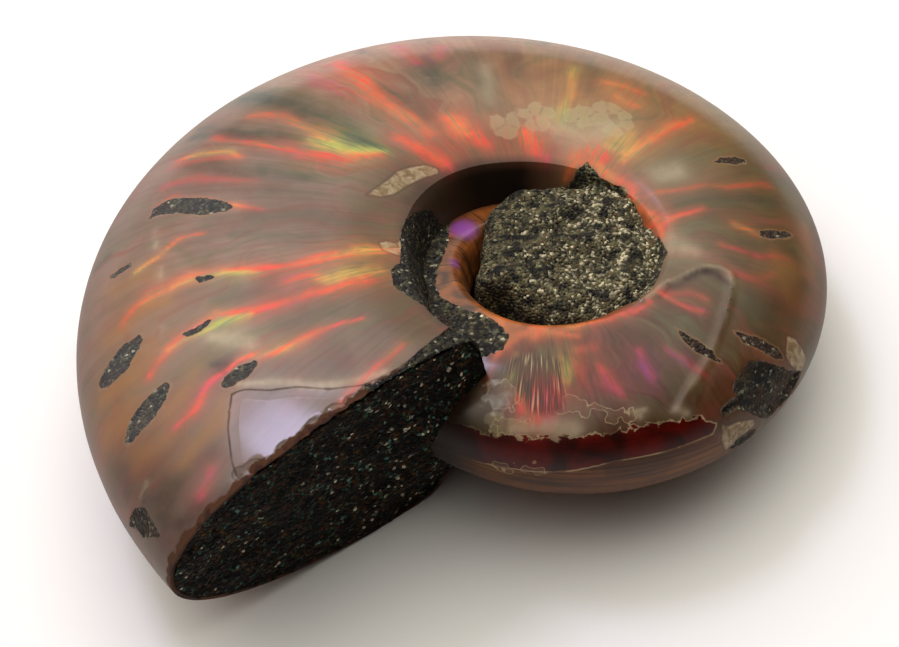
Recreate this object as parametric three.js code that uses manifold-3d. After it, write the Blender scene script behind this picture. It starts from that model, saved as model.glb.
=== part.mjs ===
// An opalized ammonite, polished and lying on its side: a flat spiral shell turned to stone. Shell and
// the sediment that fills it are one solid, from the keel to the rough plug in the middle of each side.
//
// Millimetres and degrees, +Z up. The shell is made about its own coiling axis, with its middle plane
// at z = 0, and is then laid on the table, where it leans a little because the mouth end is thicker.
// The origin ends under the middle of the stone, on the table.
import * as THREE from "three";
import { LoftGeometry } from "three/addons/geometries/LoftGeometry.js";
import { ImprovedNoise } from "three/addons/math/ImprovedNoise.js";
import { mergeVertices } from "three/addons/utils/BufferGeometryUtils.js";
import Module from "manifold-3d";

const wasm = await Module();
wasm.setup();

// The spiral. Growth runs counterclockwise seen from above. A growth angle is 0 at the keel of the
// mouth and negative back along the coil.
const mouthRadius = 25.5; // from the coiling axis to the keel, at the mouth
const expansion = 2.377; // how many times the radius grows in each turn
const mouthAzimuth = 227.5; // from +X towards +Y
const innermostGrowth = -720; // the coil starts here, under the plugs
const frontGrowth = -360; // the whorl in front of the mouth starts here
const lastGrowth = -180; // the last half turn starts here
const uncutGrowth = 40; // and runs this far before the mouth is broken off
const ringStep = 5;

// The whorl's section, as shares of the keel's radius at that growth angle. Superellipse exponents of
// 2 would make the flank a plain ellipse.
const thicknessGrown = 0.262; // half the whorl's thickness
const thicknessYoung = 0.315;
const thickUntil = -330; // it grows slimmer between these two growth angles
const slimFrom = -170;
const crestAt = 0.46; // how far out the whorl is thickest
const flankFullness = 2.13;
const keelFullness = 2.1;
const flankSteps = 11;
const shoulderSteps = 3;
const rimHeight = 0.9; // share of the thickness where the flank turns down into the middle hollow
const rimAtYoung = 0.41;
const rimAtGrown = 0.295;
const rimAtMouth = 0.345;
const rimYoungUntil = -235; // the rim draws inward between these two growth angles
const rimGrownFrom = -110;
const rimWidensFrom = -30; // and out again between these two
const rimWidensTo = 15;
const wallWidth = 0.06; // from the rim in to the foot of the wall
const wallFootHeight = 0.34; // share of the thickness

// The mouth is a rough break through the keel, turned from the radius and leaning back at the top.
// Its sediment swells forward where it meets the whorl before.
const mouthSkew = 8.6;
const mouthLean = 8.5;
const mouthLump = { size: 2.4, height: 0.32 };
const mouthSwell = { from: 11.5, to: 15.5, height: 0.75, halfWidth: 5 };

// The sediment in the middle: a low disc that fills the seam, and a higher plug that is off centre.
const seam = { radius: 8, top: 2.7, x: 0, y: 0 };
const plug = { radius: 5.1, top: 3.85, x: 1.5, y: 0.9 };
const plugSquareness = 7; // superellipsoid exponent, 2 for a ball
const plugLump = { size: 1.5, height: 0.4 };

// Chips in the shell. Growth angle, degrees round the section from the keel up to the crest, half
// lengths along the whorl and across it, and depth.
const chips = [
  { growth: -258, around: 19, along: 2.1, across: 1.35, depth: 0.42 },
  { growth: -252, around: 43, along: 1.3, across: 0.55, depth: 0.3 },
  { growth: -270, around: 5, along: 1.2, across: 0.75, depth: 0.38 },
  { growth: -5.5, around: 11, along: 1.1, across: 0.9, depth: 0.22 },
];
const chipLump = { size: 0.9, height: 0.12 };

// The flat scar of a flake that came off beside the mouth, from its inner corner to its two ends on
// the broken edge. Shares out from the axis, and depth under the flank.
const flakeCorner = { growth: -8.5, out: 0.75, depth: 0.1 };
const flakeKeelEnd = { growth: 0, out: 0.83, depth: 0.6 };
const flakeRimEnd = { growth: 5, out: 0.6, depth: 0.35 };

// How it lies: its middle plane leans by this much, lowest towards this azimuth, and the underside is
// worn flat where it touches the table.
const restLean = 5.3;
const restAzimuth = 67.8;
const wornDepth = 0.12;

const rad = THREE.MathUtils.degToRad;
const lerp = THREE.MathUtils.lerp;
const noise = new ImprovedNoise();

const keelRadius = (growth) => mouthRadius * expansion ** (growth / 360);

// Two sizes of lump, added: a share from -1 to 1 for any point.
function lumps(point, size) {
  const at = point.clone().divideScalar(size);
  return noise.noise(at.x, at.y, at.z) + 0.5 * noise.noise(at.x * 2.3, at.y * 2.3, at.z * 2.3 + 7);
}

function toSolid(geometry) {
  const bare = new THREE.BufferGeometry();
  bare.setAttribute("position", geometry.attributes.position);
  bare.setIndex(geometry.index);
  const merged = mergeVertices(bare, 1e-4);
  return new wasm.Manifold(
    new wasm.Mesh({
      numProp: 3,
      vertProperties: merged.attributes.position.array,
      triVerts: new Uint32Array(merged.index.array),
    }),
  );
}

function toGeometry(solid) {
  const mesh = solid.getMesh();
  const geometry = new THREE.BufferGeometry();
  geometry.setAttribute("position", new THREE.BufferAttribute(mesh.vertProperties, 3));
  geometry.setIndex(new THREE.BufferAttribute(mesh.triVerts, 1));
  geometry.computeVertexNormals();
  return geometry;
}

// Moves each vertex of a geometry to the place that the function gives for it.
function reshape(geometry, place) {
  const positions = geometry.attributes.position;
  const point = new THREE.Vector3();
  for (let i = 0; i < positions.count; i++) {
    point.fromBufferAttribute(positions, i);
    positions.setXYZ(i, ...place(point).toArray());
  }
  return geometry;
}

const { smoothstep } = THREE.MathUtils;
const rimAt = (growth) =>
  lerp(rimAtYoung, rimAtGrown, smoothstep(growth, rimYoungUntil, rimGrownFrom)) +
  lerp(0, rimAtMouth - rimAtGrown, smoothstep(growth, rimWidensFrom, rimWidensTo));
const halfThickness = (growth) =>
  lerp(thicknessYoung, thicknessGrown, smoothstep(growth, thickUntil, slimFrom));

// A place on the section is [share out from the axis, share of the half thickness]. This one is on
// the flank, at degrees round the section from the keel up to the crest.
const flankPlace = (around) => [
  crestAt + (1 - crestAt) * Math.max(Math.cos(rad(around)), 0) ** (2 / flankFullness),
  Math.sin(rad(around)) ** (2 / keelFullness),
];

// And this one is on the flank at a share out from the axis.
function flankPlaceAt(out) {
  const cosine = ((out - crestAt) / (1 - crestAt)) ** (flankFullness / 2);
  return [out, Math.sqrt(1 - cosine * cosine) ** (2 / keelFullness)];
}

// The upper half of the section, from the foot of the wall over the rim and crest to the keel.
function upperSection(growth) {
  const rim = rimAt(growth);
  const foot = rim - wallWidth;
  const points = [
    [foot, wallFootHeight],
    [lerp(foot, rim, 0.7), rimHeight * 0.86],
  ];
  for (let i = 0; i < shoulderSteps; i++) {
    const share = i / shoulderSteps;
    const rise = Math.sin((share * Math.PI) / 2);
    points.push([lerp(rim, crestAt, share), lerp(rimHeight, 1, rise)]);
  }
  for (let i = 0; i <= flankSteps; i++) {
    points.push(flankPlace(90 * (1 - i / flankSteps)));
  }
  return points;
}

function whorlPoint(growth, [out, height]) {
  const radius = keelRadius(growth);
  const point = new THREE.Vector3(radius * out, 0, radius * halfThickness(growth) * height);
  return point.applyAxisAngle(new THREE.Vector3(0, 0, 1), rad(mouthAzimuth + growth));
}

function whorlRing(growth) {
  const upper = upperSection(growth);
  const lower = upper
    .slice(0, -1)
    .reverse()
    .map(([out, height]) => [out, -height]);
  return [...upper, ...lower].map((place) => whorlPoint(growth, place));
}

// A stretch of the coiled tube. It runs one ring past its end, into the next stretch.
function whorl(from, to) {
  const rings = [];
  for (let growth = from; growth <= to + ringStep; growth += ringStep) {
    rings.push(whorlRing(growth));
  }
  return toSolid(new LoftGeometry(rings, { capStart: true, capEnd: true }));
}

// All that lies in front of the mouth: a block with one rough face.
function mouthBreak() {
  const size = { inward: 28, upward: 20, forward: 20 };
  const before = 4; // how much of the block lies outside the keel
  const block = new THREE.BoxGeometry(size.inward, size.upward, size.forward, 24, 16, 1);
  reshape(block, (point) => {
    const isFace = point.z < 0 ? 1 : 0;
    const inwardPlace = point.x + size.inward / 2 - before;
    const middle = Math.max(1 - (point.y / mouthSwell.halfWidth) ** 2, 0);
    const swell = middle * smoothstep(inwardPlace, mouthSwell.from, mouthSwell.to);
    const rough = mouthSwell.height * swell + mouthLump.height * lumps(point, mouthLump.size);
    return new THREE.Vector3(inwardPlace, point.y, point.z + size.forward / 2 + isFace * rough);
  });
  const keel = whorlPoint(0, [1, 0]);
  const inward = keel.clone().negate().normalize();
  inward.applyAxisAngle(new THREE.Vector3(0, 0, 1), -rad(mouthSkew));
  const upward = new THREE.Vector3(0, 0, 1);
  upward.applyAxisAngle(inward, rad(mouthLean));
  const forward = new THREE.Vector3().crossVectors(inward, upward);
  block.applyMatrix4(new THREE.Matrix4().makeBasis(inward, upward, forward).setPosition(keel));
  return toSolid(block);
}

// A lumpy drum of sediment with rounded shoulders, through the stone from side to side.
function sediment({ radius, top, x, y }) {
  const drum = new THREE.IcosahedronGeometry(1, 7);
  reshape(drum, (point) => {
    const across = Math.hypot(point.x, point.y) ** plugSquareness;
    const bulge = (across + Math.abs(point.z) ** plugSquareness) ** (1 / plugSquareness);
    const place = point.clone().divideScalar(bulge);
    place.multiply(new THREE.Vector3(radius, radius, top));
    place.add(new THREE.Vector3(x, y, 0));
    place.z += Math.sign(place.z) * plugLump.height * lumps(place, plugLump.size);
    return place;
  });
  return toSolid(drum);
}

// A lumpy lens that is sunk in the flank, to cut a chip.
function chipCutter({ growth, around, along, across, depth }) {
  const small = 0.5;
  const place = whorlPoint(growth, flankPlace(around));
  const forward = whorlPoint(growth + small, flankPlace(around)).sub(place).normalize();
  const sideways = whorlPoint(growth, flankPlace(around + small)).sub(place).normalize();
  const outward = new THREE.Vector3().crossVectors(forward, sideways).negate().normalize();
  const thick = along / 2;
  const lens = new THREE.SphereGeometry(1, 20, 12);
  lens.scale(along, across, thick);
  reshape(lens, (point) => {
    const swell = 1 + (chipLump.height / depth) * 0.5 * lumps(point, chipLump.size);
    return point.clone().multiplyScalar(swell);
  });
  const centre = place.addScaledVector(outward, thick - depth);
  const across2 = new THREE.Vector3().crossVectors(outward, forward);
  lens.applyMatrix4(new THREE.Matrix4().makeBasis(forward, across2, outward).setPosition(centre));
  return toSolid(lens);
}

// A slab whose lower face is the flake's flat scar.
function flakeCutter() {
  const under = ({ growth, out, depth }) => {
    const point = whorlPoint(growth, flankPlaceAt(out));
    point.z -= depth;
    return point;
  };
  const corner = under(flakeCorner);
  const alongKeel = under(flakeKeelEnd).sub(corner);
  const alongRim = under(flakeRimEnd).sub(corner);
  const xAxis = alongKeel.clone().normalize();
  const zAxis = new THREE.Vector3().crossVectors(alongKeel, alongRim).normalize();
  const yAxis = new THREE.Vector3().crossVectors(zAxis, xAxis);
  const beyond = 1.5;
  const flat = (vector) => new THREE.Vector2(vector.dot(xAxis), vector.dot(yAxis));
  const outline = new THREE.Shape([
    new THREE.Vector2(0, 0),
    flat(alongKeel).multiplyScalar(beyond),
    flat(alongKeel).add(flat(alongRim)).multiplyScalar(beyond),
    flat(alongRim).multiplyScalar(beyond),
  ]);
  const slab = new THREE.ExtrudeGeometry(outline, { depth: 4, bevelEnabled: false });
  slab.applyMatrix4(new THREE.Matrix4().makeBasis(xAxis, yAxis, zAxis).setPosition(corner));
  return toSolid(slab);
}

function stone() {
  const youngWhorls = whorl(innermostGrowth, frontGrowth);
  const frontWhorl = whorl(frontGrowth, lastGrowth);
  const lastWhorl = whorl(lastGrowth, uncutGrowth).subtract(mouthBreak());
  let whole = youngWhorls.add(frontWhorl).add(lastWhorl).add(sediment(seam)).add(sediment(plug));
  for (const chip of chips) {
    whole = whole.subtract(chipCutter(chip));
  }
  return whole.subtract(flakeCutter());
}

// Turns the stone to the way it lies, wears its underside and puts the origin under its middle.
function laidDown(solid) {
  const lowSide = new THREE.Vector3(Math.cos(rad(restAzimuth)), Math.sin(rad(restAzimuth)), 0);
  const hinge = new THREE.Vector3().crossVectors(new THREE.Vector3(0, 0, 1), lowSide);
  const geometry = toGeometry(solid);
  geometry.applyMatrix4(new THREE.Matrix4().makeRotationAxis(hinge, rad(restLean)));
  geometry.computeBoundingBox();
  const table = geometry.boundingBox.min.z + wornDepth;
  const below = new THREE.BoxGeometry(4 * mouthRadius, 4 * mouthRadius, mouthRadius);
  below.translate(0, 0, table - mouthRadius / 2);
  const worn = toGeometry(toSolid(geometry).subtract(toSolid(below)));
  worn.computeBoundingBox();
  const middle = worn.boundingBox.getCenter(new THREE.Vector3());
  return worn.translate(-middle.x, -middle.y, -table);
}

const ammonite = new THREE.Mesh(
  laidDown(stone()),
  new THREE.MeshStandardMaterial({ color: 0x8c7766, roughness: 0.2, metalness: 0 }),
);
ammonite.name = "ammonite";

const specimen = new THREE.Group();
specimen.add(ammonite);
export default specimen;
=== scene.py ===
# An opalized ammonite, polished and lying on its side: a coiled shell, and the dark sandstone that
# fills it. Sizes are in millimetres and degrees, and the meshes are made in metres.
import math
import random

import bmesh
import bpy
import numpy as np
from mathutils import Matrix, Vector, noise


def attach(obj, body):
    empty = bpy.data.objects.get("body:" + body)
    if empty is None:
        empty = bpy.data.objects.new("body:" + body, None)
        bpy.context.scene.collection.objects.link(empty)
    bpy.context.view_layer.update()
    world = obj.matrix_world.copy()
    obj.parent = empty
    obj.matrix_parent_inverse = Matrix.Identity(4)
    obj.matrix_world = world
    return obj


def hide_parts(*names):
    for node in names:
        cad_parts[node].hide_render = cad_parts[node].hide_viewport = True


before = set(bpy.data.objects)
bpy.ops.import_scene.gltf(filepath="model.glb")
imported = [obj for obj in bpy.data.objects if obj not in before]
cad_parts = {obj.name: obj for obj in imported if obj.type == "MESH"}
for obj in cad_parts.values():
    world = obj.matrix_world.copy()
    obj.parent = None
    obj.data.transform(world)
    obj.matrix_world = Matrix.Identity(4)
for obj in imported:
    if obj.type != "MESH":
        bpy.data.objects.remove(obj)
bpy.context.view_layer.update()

millimetre = 0.001
cadNode = "ammonite"

# The coil, as the CAD node has it. Growth is 0 at the keel of the mouth and negative back along the
# coil. Shares are of the keel's radius at that growth angle.
coil = {
    "mouthRadius": 25.5,
    "expansion": 2.377,
    "mouthAzimuth": 227.5,
    "thickGrown": 0.262,
    "thickYoung": 0.315,
    "thickUntil": -330,
    "slimFrom": -170,
    "crestAt": 0.46,
    "flankFullness": 2.13,
    "keelFullness": 2.1,
    "rimHeight": 0.9,
    "rimYoung": 0.41,
    "rimGrown": 0.295,
    "rimMouth": 0.345,
    "rimYoungUntil": -235,
    "rimGrownFrom": -110,
    "rimWidensFrom": -30,
    "rimWidensTo": 15,
    "wallWidth": 0.06,
    "wallBulge": (0.3, 0.86),
    "wallFoot": 0.34,
    "lean": 5.3,
    "leanAzimuth": 67.8,
    "centre": (4.0312, 0.1456, 5.5756),
    "inset": 0.045,
}

leanTo = math.radians(coil["leanAzimuth"])
hinge = Vector((-math.sin(leanTo), math.cos(leanTo), 0))
toTable = Matrix.Translation(coil["centre"]) @ Matrix.Rotation(math.radians(coil["lean"]), 4, hinge)
tableTurn = np.array(toTable.to_3x3())
tableShift = np.array(toTable.translation)


def smoothStep(value, low, high):
    share = np.clip((value - low) / (high - low), 0, 1)
    return share * share * (3 - 2 * share)


def keelRadius(growth):
    return coil["mouthRadius"] * coil["expansion"] ** (growth / 360)


def rimAt(growth):
    grown = smoothStep(growth, coil["rimYoungUntil"], coil["rimGrownFrom"])
    widened = smoothStep(growth, coil["rimWidensFrom"], coil["rimWidensTo"])
    rim = coil["rimYoung"] + (coil["rimGrown"] - coil["rimYoung"]) * grown
    return rim + (coil["rimMouth"] - coil["rimGrown"]) * widened


def halfThickness(growth):
    slim = smoothStep(growth, coil["thickUntil"], coil["slimFrom"])
    return coil["thickYoung"] + (coil["thickGrown"] - coil["thickYoung"]) * slim


# Degrees round the section: 0 at the keel, 90 on the crest, 120 at the rim of the middle hollow and
# 130 at the foot of its wall, negative on the underside. Gives shares out and up.
def sectionPlace(growth, around):
    side = np.where(around < 0, -1.0, 1.0)
    around = np.abs(around)
    angle = np.radians(np.minimum(around, 90))
    crest = coil["crestAt"]
    rim = rimAt(growth)
    flankOut = crest + (1 - crest) * np.clip(np.cos(angle), 0, 1) ** (2 / coil["flankFullness"])
    flankUp = np.clip(np.sin(angle), 0, 1) ** (2 / coil["keelFullness"])
    over = np.clip((around - 90) / 30, 0, 1)
    shoulderUp = coil["rimHeight"] + (1 - coil["rimHeight"]) * np.cos(over * np.pi / 2)
    down = np.clip((around - 120) / 10, 0, 1)
    bulge, bulgeUp = coil["wallBulge"]
    wallUps = [coil["rimHeight"], coil["rimHeight"] * bulgeUp, coil["wallFoot"]]
    wallUp = np.interp(down, [0, bulge, 1], wallUps)
    out = np.where(around <= 90, flankOut, crest + (rim - crest) * over)
    out = np.where(around <= 120, out, rim - coil["wallWidth"] * down)
    up = np.where(around <= 90, flankUp, np.where(around <= 120, shoulderUp, wallUp))
    return out, up * side


# Points of the coil in the table's frame, from arrays of growth angle and shares out and up
def coilPoints(growth, out, up):
    radius = keelRadius(growth) - coil["inset"]
    azimuth = np.radians(coil["mouthAzimuth"] + growth)
    across = radius * out
    height = radius * halfThickness(growth) * up
    points = np.stack([across * np.cos(azimuth), across * np.sin(azimuth), height], axis=-1)
    return points @ tableTurn.T + tableShift


def shellPoints(places):
    growth, around = np.array(places, float).T[:2]
    return coilPoints(growth, *sectionPlace(growth, around))


# The break that ends the shell: a plane through the keel, turned from the radius and leaning back
mouth = {
    "skew": 8.6,
    "lean": 8.5,
    "lumpSize": 2.4,
    "lumpHeight": 0.2,
    "swellFrom": 11.5,
    "swellTo": 15.5,
    "swellHeight": 0.75,
    "swellHalfWidth": 5.0,
    "uncut": 34,
    "middle": 9,
}


def mouthFrame():
    azimuth = math.radians(coil["mouthAzimuth"])
    inward = Vector((-math.cos(azimuth), -math.sin(azimuth), 0))
    inward.rotate(Matrix.Rotation(-math.radians(mouth["skew"]), 3, "Z"))
    upward = Vector((0, 0, 1))
    upward.rotate(Matrix.Rotation(math.radians(mouth["lean"]), 3, inward))
    turn = toTable.to_3x3()
    keel = Vector(shellPoints([(0, 0)])[0])
    return keel, turn @ inward, turn @ upward, turn @ inward.cross(upward)


mouthKeel, mouthInward, mouthUpward, mouthForward = mouthFrame()
mouthMiddle = mouthKeel + mouthInward * mouth["middle"]


# Colours are sRGB hex values
def linear(hexColour):
    channels = [int(hexColour[i : i + 2], 16) / 255 for i in (1, 3, 5)]
    return tuple(c / 12.92 if c <= 0.04045 else ((c + 0.055) / 1.055) ** 2.4 for c in channels) + (1.0,)


# Adds a node: settings are its own properties, inputs are values or the sockets that feed them, and
# ramp is a list of (place, colour).
def addNode(tree, kind, inputs=None, ramp=None, **settings):
    node = tree.nodes.new(kind)
    for name, value in settings.items():
        setattr(node, name, value)
    for name, value in (inputs or {}).items():
        if isinstance(value, bpy.types.NodeSocket):
            tree.links.new(value, node.inputs[name])
        else:
            node.inputs[name].default_value = value
    for i, (place, colour) in enumerate(ramp or []):
        stops = node.color_ramp.elements
        stop = stops[i] if i < 2 else stops.new(place)
        stop.position = place
        stop.color = linear(colour) if isinstance(colour, str) else (colour, colour, colour, 1)
    return node


mixFactor, mixA, mixB, mixResult = 0, 6, 7, 2  # the colour sockets of a Mix node


def scaleFor(size):
    return 1 / (size * millimetre)


def newMaterial(name):
    material = bpy.data.materials.new(name)
    material.use_nodes = True
    material.node_tree.nodes.clear()
    return material, material.node_tree


def addObject(name, data):
    thing = bpy.data.objects.new(name, data)
    bpy.context.collection.objects.link(thing)
    return thing


def newPiece(name, bm, material, sharpAngle=180):
    mesh = bpy.data.meshes.new(name)
    bm.to_mesh(mesh)
    bm.free()
    mesh.materials.append(material)
    mesh.shade_smooth()
    mesh.set_sharp_from_angle(angle=math.radians(sharpAngle))
    piece = addObject(name, mesh)
    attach(piece, "root")
    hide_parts(cadNode)
    print(name, len(mesh.polygons), "faces")
    return piece


# Glauconitic sandstone: dark olive, brown and black grains 0.13 to 0.15 mm wide, with a few pale ones,
# and clean quartz faces that glint. The fresh break is drawn a little coarser, to show. The ramps give
# the grains' colours, low is how dark the clumps between them go, and drift brings more pale grains,
# from the first place of driftAcross to the second along x.
sandstones = {
    # the fresh break: its grains are darker than the weathered plug's, partly their own colour and partly
    # painted shade on a face turned from the light
    "freshAndShaded": {
        "name": "Glauconitic sandstone, fresh break in painted shade",
        "grain": 0.16,
        "clump": 0.8,
        # its brightest grains are partly painted glints, and its drift adds more of them along x
        "grains": [(0, "#020100"), (0.3, "#0c0602"), (0.5, "#241406"), (0.66, "#3f220b"), (0.78, "#0f2016"),
                   (0.86, "#4c3516"), (0.92, "#2c5244"), (0.965, "#5b8073"), (0.992, "#c2bba3")],
        "low": "#565656",
        "relief": 0.16,
        "specular": 0.1,
        "drift": 0.03,
        "driftAcross": (-8, -1),
    },
    "weathered": {
        "name": "Glauconitic sandstone, weathered",
        "grain": 0.15,
        "clump": 0.6,
        "grains": [(0, "#16140b"), (0.14, "#3a3521"), (0.34, "#524e33"), (0.56, "#604f31"), (0.7, "#6b6748"),
                   (0.88, "#827b5c"), (0.985, "#c4ba98")],
        "low": "#45423a",
        "relief": 0.16,
        "specular": 0.3,
        "drift": 0.2,
        "driftAcross": (2, 8),
    },
    "worn": {  # seen through worn shell, so the opal's own shader shows it
        "grain": 0.15,
        "clump": 0.5,
        "grains": [(0, "#15130b"), (0.3, "#332c1b"), (0.52, "#4e4629"), (0.7, "#5f5c40"), (0.86, "#767154"),
                   (0.955, "#c9c3a6")],
        "low": "#6d6d6d",
        "relief": 0.08,
        "drift": 0.0,
        "driftAcross": (2, 8),
    },
}
sandstoneShading = {
    "ior": 1.54,
    "clumpFrom": 0.38,
    "clumpTo": 0.6,
    "glossyFrom": 0.88,
    "glossyTo": 0.97,
    "dull": 0.8,
    "glossy": 0.25,
}


def sandstoneColour(tree, coordinates, stone):
    shading = sandstoneShading
    cells = addNode(tree, "ShaderNodeTexVoronoi", {"Vector": coordinates, "Scale": scaleFor(stone["grain"])})
    pick = addNode(tree, "ShaderNodeSeparateColor", {"Color": cells.outputs["Color"]})
    across = addNode(tree, "ShaderNodeSeparateXYZ", {0: coordinates}).outputs[0]
    driftFrom, driftTo = stone["driftAcross"]
    paler = addNode(tree, "ShaderNodeMapRange",
                    {"Value": across, "From Min": driftFrom * millimetre, "From Max": driftTo * millimetre,
                     "To Max": stone["drift"]}).outputs[0]
    picked = addNode(tree, "ShaderNodeMath", {0: pick.outputs["Red"], 1: paler}, operation="ADD").outputs[0]
    grains = addNode(tree, "ShaderNodeValToRGB", {"Fac": picked}, stone["grains"])
    grains.color_ramp.interpolation = "CONSTANT"
    clumps = addNode(tree, "ShaderNodeTexNoise",
                     {"Vector": coordinates, "Scale": scaleFor(stone["clump"]), "Detail": 4.0})
    shade = addNode(tree, "ShaderNodeMapRange",
                    {"Value": clumps.outputs[0], "From Min": shading["clumpFrom"],
                     "From Max": shading["clumpTo"]}).outputs[0]
    tint = addNode(tree, "ShaderNodeMix", {mixFactor: shade, mixA: linear(stone["low"]), mixB: (1, 1, 1, 1)},
                   data_type="RGBA")
    shaded = addNode(tree, "ShaderNodeMix", {mixFactor: 1.0, mixA: grains.outputs["Color"],
                                             mixB: tint.outputs[mixResult]},
                     data_type="RGBA", blend_type="MULTIPLY")
    gloss = addNode(tree, "ShaderNodeMapRange",
                    {"Value": pick.outputs["Green"], "From Min": shading["glossyFrom"],
                     "From Max": shading["glossyTo"], "To Min": shading["dull"],
                     "To Max": shading["glossy"]})
    bump = addNode(tree, "ShaderNodeBump", {"Height": cells.outputs["Distance"], "Strength": 1.0,
                                            "Distance": stone["relief"] * millimetre}, invert=True)
    return shaded.outputs[mixResult], gloss.outputs[0], bump.outputs[0]


def makeSandstone(kind):
    stone = sandstones[kind]
    material, tree = newMaterial(stone["name"])
    place = addNode(tree, "ShaderNodeTexCoord")
    colour, roughness, normal = sandstoneColour(tree, place.outputs["Object"], stone)
    shader = addNode(tree, "ShaderNodeBsdfPrincipled",
                     {"Base Color": colour, "Roughness": roughness, "Normal": normal,
                      "IOR": sandstoneShading["ior"], "Specular IOR Level": stone["specular"]})
    addNode(tree, "ShaderNodeOutputMaterial", {"Surface": shader.outputs[0]})
    return material


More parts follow.
